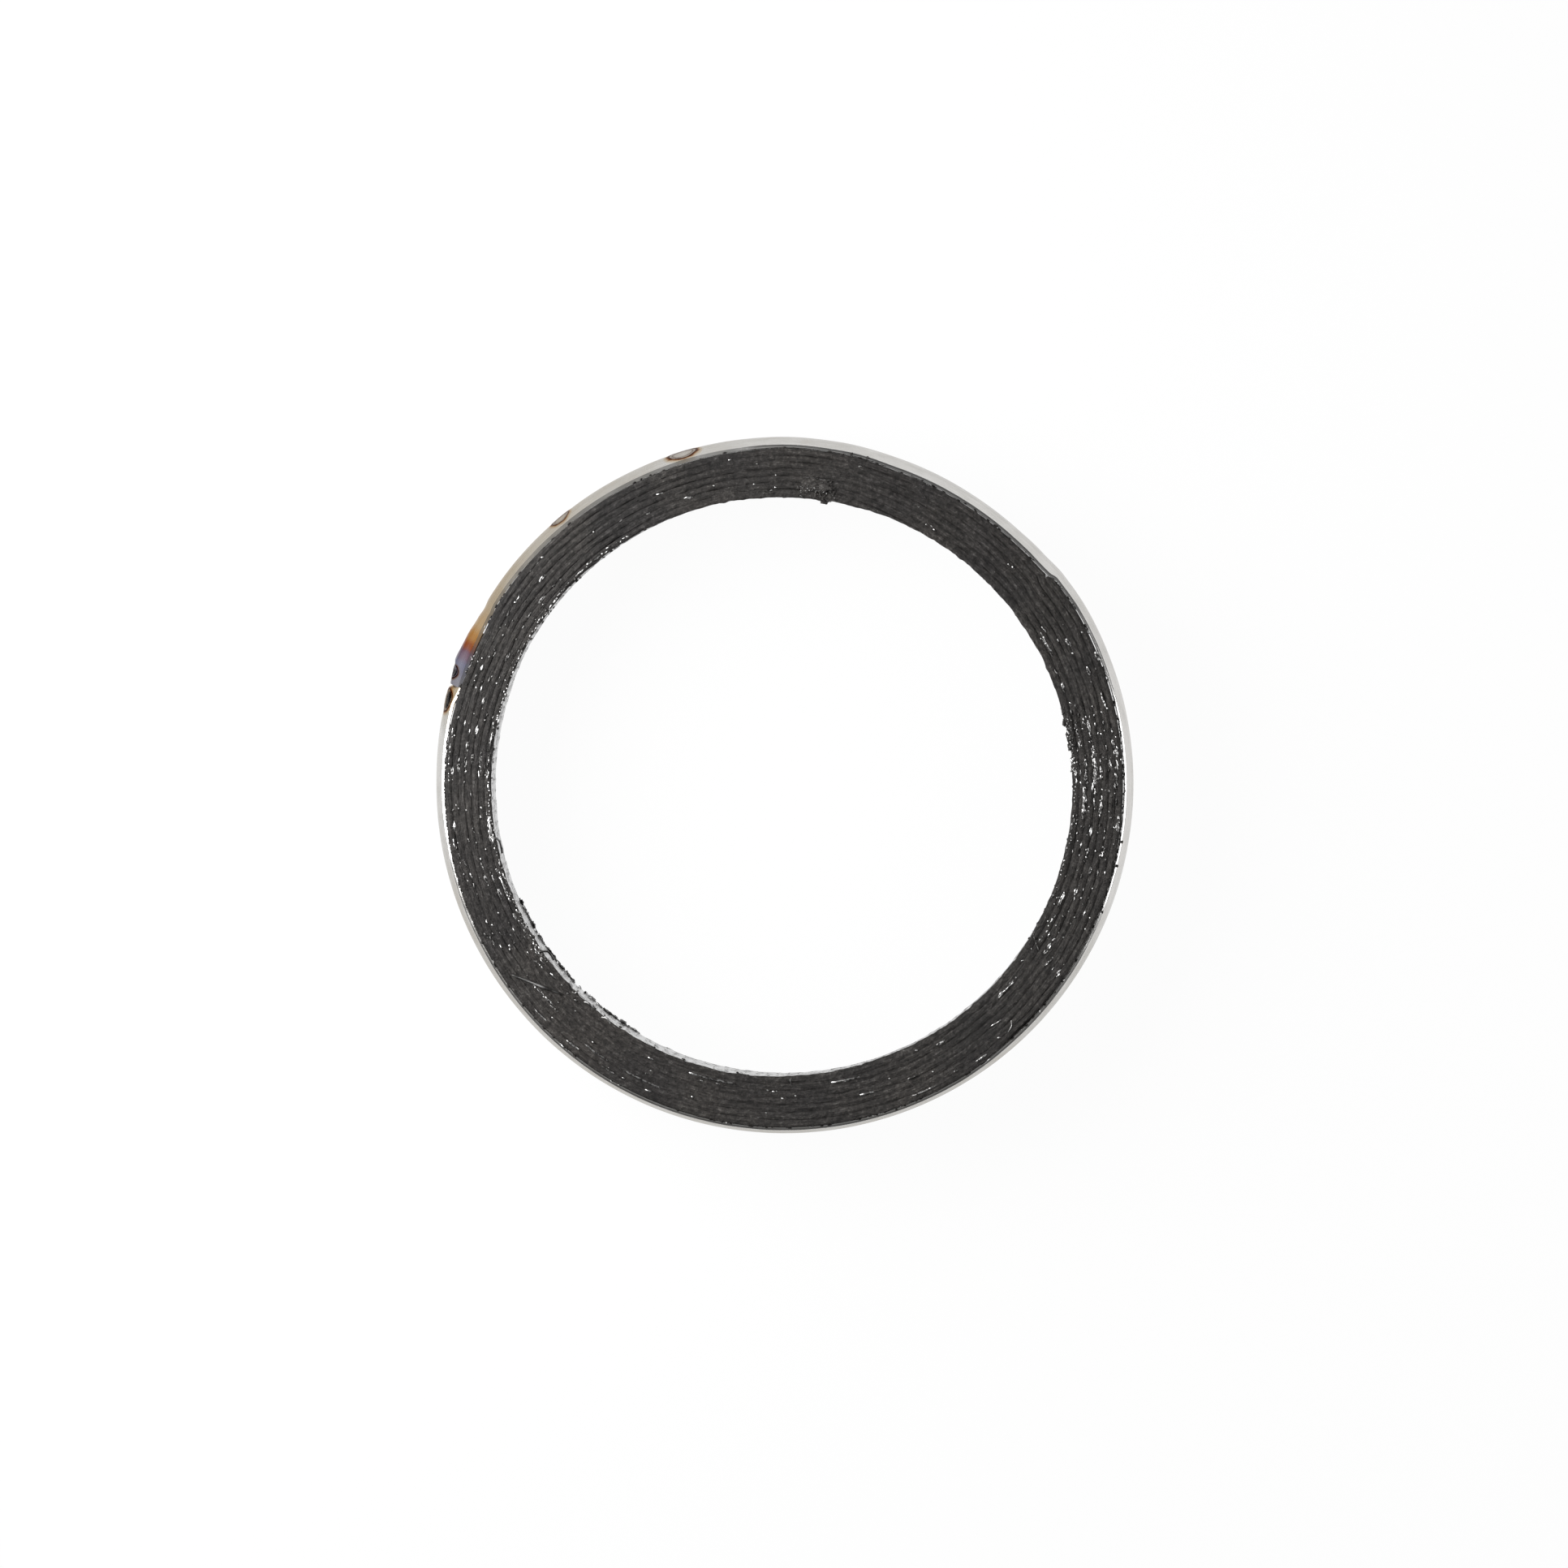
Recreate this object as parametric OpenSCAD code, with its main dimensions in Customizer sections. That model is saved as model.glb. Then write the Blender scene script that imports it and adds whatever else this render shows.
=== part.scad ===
// Exhaust pipe flange gasket: graphite foil and knitted wire wound together, pressed
// solid and held in a rolled steel band. Sizes are in millimetres, +Z is the ring's axis
// and the origin is the centre of the lower sealing face.

/* [Ring] */
// Bore that takes the end of the pipe
bore_d = 54.5; // [40:0.5:80]
// Radial width of the sealing face, from the bore to the lip of the band
face_w = 4.65; // [3.4:0.05:8]
// Height from one sealing face to the other
ring_h = 12; // [9:0.5:20]
// How far each sealing face stands out of the band
proud = 0.5; // [0.2:0.1:1.5]

/* [Winding] */
// Turns that the mesh makes from its inner end to its outer end
turns = 5.88; // [3.5:0.02:7.5]
// Direction of the inner end, anticlockwise from +X seen from above
start_a = 82; // [0:1:359]
// Thickness of the pressed wire mesh
mesh_t = 0.2; // [0.1:0.02:0.3]
// How far the edges of the mesh lie below the sealing faces
mesh_sink = 0.2; // [0.1:0.05:0.6]
// Foil left inside the first turn of mesh and outside the last
skin_t = 0.3; // [0.2:0.02:0.6]
// Depth of the rounded-over edge of each turn of foil
edge_h = 0.16; // [0.05:0.01:0.3]
// Width of the seam at either end of the foil strip
seam_w = 0.16; // [0.08:0.02:0.4]

/* [Outer band] */
// Thickness of the steel strip
band_t = 0.3; // [0.2:0.02:0.6]
// Clearance left between the pressed roll and the band that grips it
grip_gap = 0.02; // [0:0.01:0.1]
// How far the middle of the band bulges out past its lips
crown = 0.54; // [0.3:0.02:1.2]
// Direction of the strip's free end
lap_a = 163; // [120:1:200]
// Angle over which the free end covers the other end
lap_span = 13; // [8:1:30]
// Angle over which the strip climbs on to its other end
climb_span = 10; // [9:0.5:20]

/* [Spot welds] */
// Width of the round mark that each weld leaves
weld_d = 2.9; // [1.5:0.1:3.2]
// Depth of the mark
weld_h = 0.12; // [0.05:0.01:0.16]
// Distance from the upper lip of the band down to the middle of the welds
weld_drop = 3.2; // [1.8:0.1:4]
// How far round from the free end the welds in the single strip lie
weld_back = [56, 33, -2.5]; // [-10:0.5:90]
// How far back from the free end the weld in the lap lies
weld_lap = 2.3; // [1:0.1:6]

/* [Hidden] */
$fn = 128;
bore_r = bore_d / 2;
mid_z = ring_h / 2;
band_w = ring_h - 2 * proud;
// The roll bulges to an arc, and the inside of the band follows it at the clearance.
lip_r = bore_r + face_w;
belly_r = lip_r + crown;
arc_r = (pow(band_w / 2, 2) + pow(crown, 2)) / (2 * crown);
arc_x = belly_r - arc_r;
rim_r = arc_x + sqrt(pow(arc_r, 2) - pow(mid_z, 2));
// The mesh runs from just outside the bore to just inside the rim of the face.
mesh_r0 = bore_r + skin_t + mesh_t / 2;
mesh_r1 = rim_r - skin_t - mesh_t / 2;
pitch = (mesh_r1 - mesh_r0) / turns;
foil_t = pitch - mesh_t;
edge_w = min(edge_h, foil_t / 4, skin_t / 2);
half_turns = ceil(turns * 2);
last_sweep = (turns * 2 - half_turns + 1) * 180;
past = 1;
// The climbing part of the strip turns about a centre off the axis.
strip_r = belly_r + grip_gap + band_t;
climb_b = (strip_r + band_t) * sin(climb_span);
climb_c = pow(strip_r + band_t, 2) - pow(strip_r, 2);
climb_off = climb_b - sqrt(pow(climb_b, 2) - climb_c);
climb_a = lap_a - lap_span - climb_span;
climb_over = 0.5;
weld_z = ring_h - proud - weld_drop;
weld_ball = (pow(weld_d / 2, 2) + pow(weld_h, 2)) / (2 * weld_h);

// Section of the steel strip: a slice of a round arc, lifted off the roll by `lift`.
module strip_section(lift) {
    intersection() {
        difference() {
            translate([arc_x, mid_z])
                circle(r = arc_r + grip_gap + lift + band_t);
            translate([arc_x, mid_z])
                circle(r = arc_r + grip_gap + lift);
        }
        translate([lip_r - band_t, proud])
            square([crown + 4 * band_t, band_w]);
    }
}

// The strip where it climbs on to its own end, about a centre to one side.
module climb() {
    intersection() {
        rotate([0, 0, climb_a])
            translate([0, climb_off, 0])
                rotate_extrude(angle = climb_span)
                    strip_section(0);
        rotate([0, 0, climb_a])
            rotate_extrude(angle = climb_span)
                translate([lip_r - band_t, 0])
                    square([crown + 5 * band_t, ring_h]);
    }
}

// Dished mark of one spot weld, on a strip lifted off the roll by `lift`.
module weld_mark(a, lift) {
    face_r = arc_r + grip_gap + band_t + lift;
    rise = asin((weld_z - mid_z) / face_r);
    out = face_r + weld_ball - weld_h;
    rotate([0, 0, a])
        translate([arc_x + out * cos(rise), 0, mid_z + out * sin(rise)])
            sphere(r = weld_ball);
}

// Rolled hoop with its ends lapped and welded.
module outer_band() {
    color("silver")
        difference() {
            union() {
                rotate_extrude()
                    strip_section(0);
                rotate([0, 0, lap_a - lap_span - climb_over])
                    rotate_extrude(angle = lap_span + climb_over)
                        strip_section(band_t);
                climb();
            }
            for (back = weld_back)
                weld_mark(lap_a - back, 0);
            weld_mark(lap_a - weld_lap, band_t);
        }
}

// Pressed outline of the whole roll, from the bore to the inside of the band.
module roll() {
    rotate_extrude()
        intersection() {
            translate([arc_x, mid_z])
                circle(r = arc_r);
            translate([bore_r, 0])
                square([belly_r, ring_h]);
        }
}

// One half turn of a spiral. Each is an arc about a centre a quarter pitch off the axis,
// on alternate sides, so that it starts where the one before it ends.
module half_turn(k, sweep) {
    rotate([0, 0, 180 * k])
        translate([-pitch / 4, 0, 0])
            rotate_extrude(angle = sweep)
                translate([mesh_r0 + (k / 2 + 1 / 4) * pitch, 0])
                    children();
}

// The whole spiral, swept with a section that is centred on the mesh.
module winding() {
    rotate([0, 0, start_a])
        for (k = [0:half_turns - 1])
            half_turn(k, k < half_turns - 1 ? 180 : last_sweep)
                children();
}

// Section of the space that the mesh takes, opening out at both faces.
module mesh_space() {
    half = mesh_t / 2;
    mouth = half + edge_w;
    polygon([
        [-mouth, -past],
        [mouth, -past],
        [mouth, 0],
        [half, edge_h],
        [half, ring_h - edge_h],
        [mouth, ring_h],
        [mouth, ring_h + past],
        [-mouth, ring_h + past],
        [-mouth, ring_h],
        [-half, ring_h - edge_h],
        [-half, edge_h],
        [-mouth, 0]
    ]);
}

// Seam at the inner end of the strip, open to the bore.
module inner_seam() {
    rotate([0, 0, start_a])
        translate([bore_r - past, -seam_w / 2, -past])
            cube([past + mesh_r0 - bore_r + mesh_t / 2, seam_w, ring_h + 2 * past]);
}

// Seam at the outer end of the strip, open to the band.
module outer_seam() {
    last = half_turns - 1;
    rotate([0, 0, start_a + 180 * last])
        translate([-pitch / 4, 0, 0])
            rotate([0, 0, last_sweep])
                translate([mesh_r0 + (last / 2 + 1 / 4) * pitch - mesh_t / 2, -seam_w / 2, -past])
                    cube([skin_t + crown + mesh_t + past, seam_w, ring_h + 2 * past]);
}

// Foil strip: the pressed roll less the space of the mesh between its turns.
module graphite_foil() {
    color("dimgray")
        difference() {
            roll();
            winding()
                mesh_space();
            inner_seam();
            outer_seam();
        }
}

// Knitted strip between the turns of foil, its edges just below the faces.
module wire_mesh() {
    color("lightgray")
        winding()
            translate([-mesh_t / 2, mesh_sink])
                square([mesh_t, ring_h - 2 * mesh_sink]);
}

outer_band();
graphite_foil();
wire_mesh();
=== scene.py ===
# %% [markdown]
# # A wound exhaust flange gasket
# The real ring is made from three strips. A strip of soft graphite foil and a strip of
# knitted steel wire are wound up together, pressed hard in a die, and held by a hoop of
# thin steel. This lesson makes it the same way: each strip starts flat, and is rolled up.
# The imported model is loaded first, because it fixes every size and place.

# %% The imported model
import math
import random

import bmesh
import bpy
from mathutils import Matrix, Vector, noise


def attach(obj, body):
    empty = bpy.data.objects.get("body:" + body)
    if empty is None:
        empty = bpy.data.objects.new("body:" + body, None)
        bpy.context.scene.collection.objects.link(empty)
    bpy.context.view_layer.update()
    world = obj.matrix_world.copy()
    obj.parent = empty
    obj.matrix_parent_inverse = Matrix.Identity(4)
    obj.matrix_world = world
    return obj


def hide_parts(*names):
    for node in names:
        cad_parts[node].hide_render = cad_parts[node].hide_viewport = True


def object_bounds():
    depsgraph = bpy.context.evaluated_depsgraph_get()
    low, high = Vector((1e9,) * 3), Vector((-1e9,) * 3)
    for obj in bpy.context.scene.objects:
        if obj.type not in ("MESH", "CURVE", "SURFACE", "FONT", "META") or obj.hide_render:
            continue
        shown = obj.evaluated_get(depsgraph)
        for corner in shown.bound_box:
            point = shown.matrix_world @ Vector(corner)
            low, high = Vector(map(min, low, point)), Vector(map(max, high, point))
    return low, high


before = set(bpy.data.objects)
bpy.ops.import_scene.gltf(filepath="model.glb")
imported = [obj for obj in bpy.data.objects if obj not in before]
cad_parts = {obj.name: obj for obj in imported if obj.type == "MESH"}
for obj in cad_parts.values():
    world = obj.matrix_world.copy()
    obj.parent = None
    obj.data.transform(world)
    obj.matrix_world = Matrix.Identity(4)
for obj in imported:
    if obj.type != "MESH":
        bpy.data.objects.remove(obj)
cad_lo, cad_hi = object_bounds()
rng = random.Random(38)

MM = 0.001
PX = 0.0763  # millimetres in one pixel of the photo
BORE_R = 27.25
LIP_R = 31.92
MID_R = 29.5  # middle of the roll, where lengths along the foil are measured
HOOP_R = 32.7  # outside of the hoop, where lengths along the band are measured
RING_H = (cad_hi.z - cad_lo.z) / MM
HALF_H = RING_H / 2
print("packed box in mm:", [round(c / MM, 2) for c in cad_hi - cad_lo])

# %% [markdown]
# ## Small helpers
# Sizes are easier to read in millimetres and degrees, so the shapes are worked out in
# those and become metres only when a mesh is finished. `eased` reads a short table of
# values with a smooth step between its rows, which is how the dents and tints are given.
# `near` is one at a given direction and falls to nothing on both sides of it.

# %% Helpers for numbers
def smooth(x):
    x = min(max(x, 0.0), 1.0)
    return x * x * (3 - 2 * x)


def eased(table, x):
    if x <= table[0][0]:
        return table[0][1]
    for (x0, y0), (x1, y1) in zip(table, table[1:]):
        if x <= x1:
            return y0 + (y1 - y0) * smooth((x - x0) / (x1 - x0))
    return table[-1][1]


def near(deg, middle, half):
    return 1 - smooth(abs((deg - middle + 180) % 360 - 180) / half)


def grain(x, y, z=0.0):
    return noise.noise(Vector((x, y, z)))


def around(r, deg, z):
    a = math.radians(deg)
    return Vector((r * math.cos(a), r * math.sin(a), z))


def arc_deg(length, r):
    return math.degrees(length / r)


# %% [markdown]
# A flat grid is a good start for anything that is rolled: one operator makes all of its
# faces, and each corner knows how far along and how far round it lies. Where the section
# closes on itself, the two edges of the grid meet and are merged. The values that a finish
# reads later are kept at the corners in named layers.

# %% Helpers for meshes
def flat_strip(along, around_section, *kept):
    bm = bmesh.new()
    layers = [bm.verts.layers.float.new(name) for name in kept]
    bmesh.ops.create_grid(bm, x_segments=along, y_segments=around_section, size=0.5)
    spots = [(v, v.co.x + 0.5, round((v.co.y + 0.5) * around_section)) for v in bm.verts]
    return bm, spots, layers


def finished(bm, name, material, angle):
    bmesh.ops.remove_doubles(bm, verts=bm.verts, dist=1e-5)
    open_edges = [e for e in bm.edges if e.is_boundary]
    if open_edges:
        bmesh.ops.holes_fill(bm, edges=open_edges, sides=0)
    bmesh.ops.recalc_face_normals(bm, faces=bm.faces)
    bmesh.ops.scale(bm, vec=(MM, MM, MM), verts=bm.verts)
    mesh = bpy.data.meshes.new(name)
    bm.to_mesh(mesh)
    bm.free()
    for p in mesh.polygons:
        p.use_smooth = True
    mesh.set_sharp_from_angle(angle=math.radians(angle))
    return placed(mesh, name, material)


def placed(mesh, name, material):
    mesh.materials.clear()
    mesh.materials.append(material)
    piece = bpy.data.objects.new(name, mesh)
    bpy.context.scene.collection.objects.link(piece)
    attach(piece, "root")
    print(name, "has", sum(len(p.vertices) - 2 for p in mesh.polygons), "triangles")
    return piece


# %% [markdown]
# ## Finishes
# A finish is a small graph of nodes. `add` makes a node with its settings and links what
# goes into it, by the name of a socket or by its number, as in `i0`. The other helpers are
# short names for the nodes that come up again and again: `weighed` adds up noises by their
# shares, `ramp` turns a value into a colour, and `tinted` lays one colour over another.

# %% Helpers for finishes
def new_finish(name):
    mat = bpy.data.materials.new(name)
    mat.use_nodes = True
    nodes = mat.node_tree.nodes
    nodes.clear()
    out = nodes.new("ShaderNodeOutputMaterial")
    shader = nodes.new("ShaderNodeBsdfPrincipled")
    mat.node_tree.links.new(shader.outputs["BSDF"], out.inputs["Surface"])
    return mat, shader


def socket_of(node, key):
    numbered = key[0] == "i" and key[1:].isdigit()
    return node.inputs[int(key[1:]) if numbered else key]


def add(mat, kind, sets=(), **inputs):
    node = mat.node_tree.nodes.new("ShaderNode" + kind)
    for key, value in dict(sets).items():
        setattr(node, key, value)
    for key, value in inputs.items():
        if isinstance(value, bpy.types.NodeSocket):
            mat.node_tree.links.new(value, socket_of(node, key))
        else:
            socket_of(node, key).default_value = value
    return node


def link(mat, output, socket):
    mat.node_tree.links.new(output, socket)


def attribute(mat, name):
    return add(mat, "Attribute", {"attribute_name": name}).outputs["Fac"]


def object_spot(mat):
    return add(mat, "TexCoord").outputs["Object"]


def part_z(mat, vector):
    return add(mat, "SeparateXYZ", i0=vector).outputs["Z"]


def stretched(mat, spot, by):
    return add(mat, "Mapping", i0=spot, i3=by).outputs[0]


def noise_node(mat, spot, scale, detail, rough=0.5):
    node = add(mat, "TexNoise", i0=spot, Scale=scale, Detail=detail, Roughness=rough)
    return node.outputs["Fac"]


def math_node(mat, operation, a, b=0.0, c=0.0):
    return add(mat, "Math", {"operation": operation}, i0=a, i1=b, i2=c).outputs[0]


def weighed(mat, total, *shares):
    for value, share in shares:
        total = math_node(mat, "MULTIPLY_ADD", value, share, total)
    return total


def ramp(mat, value, stops):
    node = add(mat, "ValToRGB", i0=value)
    points = node.color_ramp.elements
    points[0].position, points[-1].position = stops[0][0], stops[-1][0]
    for at, _ in stops[1:-1]:
        points.new(at)
    for point, (_, colour) in zip(points, stops):
        point.color = (*colour, 1.0)
    return node.outputs[0]


def tinted(mat, colour, *layers):
    multiply = {"data_type": "RGBA", "blend_type": "MULTIPLY"}
    for layer in layers:
        colour = add(mat, "Mix", multiply, i0=1.0, i6=colour, i7=layer).outputs[2]
    return colour


def grey(v):
    return (v, v, v)


# %% [markdown]
# ### Graphite foil
# Pressed graphite is nearly black, with a dull warm shine. The edge of the foil is torn, so
# the face is mottled, with fine streaks along the strip. On top of that, painted shade
# darkens the seams between the turns and painted light lifts the middle of each turn, so
# the turns read as rounded ridges. All of that could be one noise, but then the streaks
# would not follow the winding. So the foil keeps three values at each corner, which the graph
# reads: how far along the strip it lies, how far across, and how near and how open the
# nearest seam is, which sets the painted shade. The streaks change with height as well, or
# they would run down the wall of the bore as stripes. That wall was pressed against a smooth
# core, and is polished.

# %% Graphite finish
graphite, shader = new_finish("pressed_graphite")
along, across = attribute(graphite, "along"), attribute(graphite, "across")
seam = attribute(graphite, "seam")
spot = object_spot(graphite)
up = math_node(graphite, "MULTIPLY", part_z(graphite, spot), 1000.0)
strip_spot = add(graphite, "CombineXYZ", X=along, Y=across, Z=up).outputs[0]
streaks = stretched(graphite, strip_spot, (0.32, 2.8, 1.1))
streak = noise_node(graphite, streaks, 1.0, 6.0, 0.7)
flakes = stretched(graphite, strip_spot, (1.5, 4.6, 1.9))
flake = noise_node(graphite, flakes, 1.0, 4.0, 0.75)
mottle = noise_node(graphite, spot, 2400.0, 4.0, 0.7)
patch = noise_node(graphite, spot, 140.0, 3.0, 0.55)
crumbs = noise_node(graphite, spot, 6500.0, 2.0, 0.7)
tone = weighed(graphite, 0.0, (mottle, 0.3), (streak, 0.26), (crumbs, 0.18), (flake, 0.26))
black = ramp(graphite, tone, [
    (0.38, (0.007, 0.007, 0.0065)), (0.45, (0.0165, 0.0155, 0.0148)),
    (0.52, (0.034, 0.0317, 0.0302)), (0.57, (0.061, 0.058, 0.0555)), (0.64, (0.15, 0.145, 0.14))])
# Painted shade and light: each turn is painted darker towards its seams and lighter than its own
# colour in its middle.
painted_ridge_shading = ramp(graphite, seam, [
    (0.0, grey(1.16)), (0.3, grey(1.06)), (0.6, grey(0.84)), (0.85, grey(0.68)), (1.0, grey(0.58))])
cast = ramp(graphite, patch, [
    (0.35, (0.76, 0.75, 0.76)), (0.52, (1.0, 0.98, 0.96)), (0.68, (1.22, 1.18, 1.14))])
link(graphite, tinted(graphite, black, painted_ridge_shading, cast), shader.inputs["Base Color"])
shader.inputs["Specular IOR Level"].default_value = 0.2
facing = part_z(graphite, add(graphite, "NewGeometry").outputs["Normal"])
upright = math_node(graphite, "SUBTRACT", 1.0, math_node(graphite, "ABSOLUTE", facing))
wall = ramp(graphite, upright, [(0.75, grey(0.0)), (0.97, grey(1.0))])
rough = weighed(graphite, 0.36, (crumbs, 0.4))
rough = weighed(graphite, rough, (wall, math_node(graphite, "SUBTRACT", 0.12, rough)))
link(graphite, rough, shader.inputs["Roughness"])
height = weighed(graphite, 0.0, (mottle, 0.55), (streak, 0.5), (flake, 0.45), (crumbs, 0.22))
height = math_node(graphite, "MULTIPLY", height, weighed(graphite, 1.0, (wall, -0.98)))
bump = add(graphite, "Bump", Strength=1.0, Distance=0.00022, Height=height)
link(graphite, bump.outputs["Normal"], shader.inputs["Normal"])
print("graphite finish has", len(graphite.node_tree.nodes), "nodes")

# %% [markdown]
# ### Steel wire
# The wire is bright where the die has rubbed it, and black or grey where graphite still
# sticks to it. The two change over a fraction of a millimetre, so a fine noise picks the
# bright spots, and a coarser one leaves whole stretches dull.

# %% Wire finish
wire_steel, shader = new_finish("graphite_smeared_wire")
spot = object_spot(wire_steel)
fine = noise_node(wire_steel, spot, 4200.0, 2.0, 0.6)
coarse = noise_node(wire_steel, spot, 520.0, 2.0)
smear = weighed(wire_steel, 0.0, (coarse, 0.38), (fine, 0.62))
colour = ramp(wire_steel, smear, [
    (0.42, (0.05, 0.048, 0.046)), (0.50, (0.26, 0.255, 0.25)),
    (0.57, (0.66, 0.655, 0.65)), (0.7, (0.86, 0.85, 0.84))])
link(wire_steel, colour, shader.inputs["Base Color"])
shader.inputs["Metallic"].default_value = 1.0
rough = ramp(wire_steel, smear, [(0.42, grey(0.6)), (0.58, grey(0.28))])
link(wire_steel, rough, shader.inputs["Roughness"])
bump = add(wire_steel, "Bump", Strength=0.7, Distance=0.00003, Height=fine)
link(wire_steel, bump.outputs["Normal"], shader.inputs["Normal"])

# %% [markdown]
# ### Dark wire
# A few ends of wire stand free. They were never rubbed bright, and stay sooty.

# %% Loose wire finish
sooty_wire, shader = new_finish("sooty_loose_wire")
soot = noise_node(sooty_wire, object_spot(sooty_wire), 500.0, 3.0)
colour = ramp(sooty_wire, soot, [(0.36, (0.06, 0.058, 0.056)), (0.6, (0.42, 0.415, 0.41))])
link(sooty_wire, colour, shader.inputs["Base Color"])
shader.inputs["Metallic"].default_value = 0.9
link(sooty_wire, weighed(sooty_wire, 0.3, (soot, 0.3)), shader.inputs["Roughness"])

# %% [markdown]
# ### Band steel
# The band is bright rolled strip. Welding has coloured it: pale straw over a wide stretch,
# then orange, red, purple and grey-blue as the lap comes near. Such a colour is a thin film
# of oxide, and a film keeps its colour when it is seen almost edge-on, where bare metal
# turns white. So the same colour also drives the tint of the glancing reflection. The same
# table also paints light: where the band faces the lamps, at the right and the left, its
# values drop to nearly nothing, and the band is painted at its lightest. The hoop keeps
# values at each corner for this: how far along the strip it lies, the oxide colour with that
# painted light, the distance to the nearest weld, and where it is scorched.

# %% Band finish
band_steel, shader = new_finish("heat_tinted_strip")
oxide_and_painted_light, weld = attribute(band_steel, "oxide_and_painted_light"), attribute(band_steel, "weld")
scorch, along = attribute(band_steel, "scorch"), attribute(band_steel, "along")
spot = object_spot(band_steel)
up = math_node(band_steel, "MULTIPLY", part_z(band_steel, spot), 1000.0)
roll_spot = add(band_steel, "CombineXYZ", X=along, Y=up, Z=0.0).outputs[0]
lines = stretched(band_steel, roll_spot, (0.12, 14.0, 1.0))
rolled = noise_node(band_steel, lines, 1.0, 4.0, 0.6)
cloud = noise_node(band_steel, spot, 420.0, 3.0, 0.55)
grime = noise_node(band_steel, spot, 1300.0, 5.0, 0.7)
# Oxide colours from the welds, and at the low end painted light: a value near nought paints the
# bare band at its lightest.
film_and_painted_light = ramp(band_steel, weighed(band_steel, -0.06, (oxide_and_painted_light, 1.0), (cloud, 0.12)), [
    (0.00, (0.84, 0.83, 0.815)), (0.05, (0.75, 0.74, 0.72)), (0.10, (0.69, 0.67, 0.635)),
    (0.26, (0.60, 0.54, 0.45)), (0.40, (0.62, 0.50, 0.36)), (0.51, (0.57, 0.37, 0.21)),
    (0.60, (0.43, 0.22, 0.16)), (0.68, (0.33, 0.24, 0.27)), (0.80, (0.33, 0.33, 0.40)),
    (1.00, (0.46, 0.45, 0.47))])
edge = weighed(band_steel, -0.2, (weld, 0.5), (cloud, 0.24), (grime, 0.16))
ring = ramp(band_steel, edge, [
    (0.00, (0.95, 0.94, 0.92)), (0.30, (0.82, 0.79, 0.77)), (0.36, (0.42, 0.36, 0.34)),
    (0.41, (0.85, 0.83, 0.80)), (0.46, (0.34, 0.24, 0.21)), (0.50, (0.20, 0.12, 0.10)),
    (0.54, (0.56, 0.38, 0.28)), (0.61, (0.90, 0.81, 0.70)), (0.72, (1.0, 1.0, 1.0))])
burnt = weighed(band_steel, -0.38, (scorch, 0.55), (grime, 0.9))
soot = ramp(band_steel, burnt, [
    (0.38, grey(1.0)), (0.48, (0.36, 0.31, 0.28)), (0.56, (0.08, 0.07, 0.07)),
    (0.64, (0.02, 0.02, 0.022))])
streaked = ramp(band_steel, rolled, [(0.3, grey(0.86)), (0.7, grey(1.0))])
colour = tinted(band_steel, film_and_painted_light, ring, soot, streaked)
link(band_steel, colour, shader.inputs["Base Color"])
link(band_steel, colour, shader.inputs["Specular Tint"])
shader.inputs["Metallic"].default_value = 1.0
link(band_steel, weighed(band_steel, 0.16, (rolled, 0.18)), shader.inputs["Roughness"])
bump = add(band_steel, "Bump", Strength=0.3, Distance=0.00003,
           Height=weighed(band_steel, rolled, (cloud, 0.6)))
link(band_steel, bump.outputs["Normal"], shader.inputs["Normal"])
print("band finish has", len(band_steel.node_tree.nodes), "nodes")

# %% [markdown]
# ## The shape of the pressed ring
# Pressing leaves the ring nearly round, but the two ends of the foil still show. The foil
# starts at 82 degrees, seen from above, and each turn climbs over that end in the last
# part of its round. It stops at 38 degrees, where the band falls in behind it. The first
# table gives how far the band lies off its circle along the strip, from its covered end to
# its free end, a full round and a bit later. The second gives how far its upper lip is
# tucked in. Both are in the photo's pixels. Under the lap the foil keeps to the inner strip
# and doesn't follow the climbing one. The core was pressed a little askew as well, so the
# bore leans across the ring.

# %% Shape of the winding
TURNS = 6.88
LAYERS = 7
FOIL_START = 82.0
FOIL_STOP = FOIL_START + 360.0 * TURNS
BAND_FROM, BAND_TO = 153.0, 523.0
CLIMB_AT, CLIMB_SPAN = 507.6, 5.4
LEAN_LOW, LEAN_HIGH = Vector((-0.035, -0.21, 0.0)), Vector((-0.27, 0.10, 0.0))
BAND_SHAPE = [
    (153, -0.9), (156, -1.2), (160, -1.0), (162, 0.2), (163.4, 0.7), (170, 1.3), (180, 0.2),
    (205, 0.0), (240, 0.4), (270, 0.2), (300, 0.0), (350, 0.2), (378, 0.8), (391, 1.7),
    (397, 0.9), (402, -1.8), (408, -3.2), (418, -3.4), (430, -3.0), (441, -1.5), (451, -0.4),
    (470, 0.5), (490, 1.4), (503, 1.9), (507.6, 1.7), (509.6, 0.1), (511.4, 1.2), (515, 3.4),
    (519.5, 5.3), (521.6, 5.2), (523, 4.8)]
LIP_TUCK = [
    (153, 1.5), (190, 1.2), (205, 1.0), (225, 0.3), (240, 0.0), (300, 0.2), (315, 1.6),
    (345, 2.2), (362, 2.4), (375, 1.4), (392, 0.8), (397.6, 0.9), (399, 3.4), (410, 2.4),
    (430, 2.6), (438, 1.2), (450, 0.6), (460, 1.8), (480, 1.8), (507, 1.5)]


def band_off(deg):
    return PX * eased(BAND_SHAPE, deg) + 0.012 * grain(deg * 0.11, 3.0)


def tuck(deg):
    return PX * eased(LIP_TUCK, deg)


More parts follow.
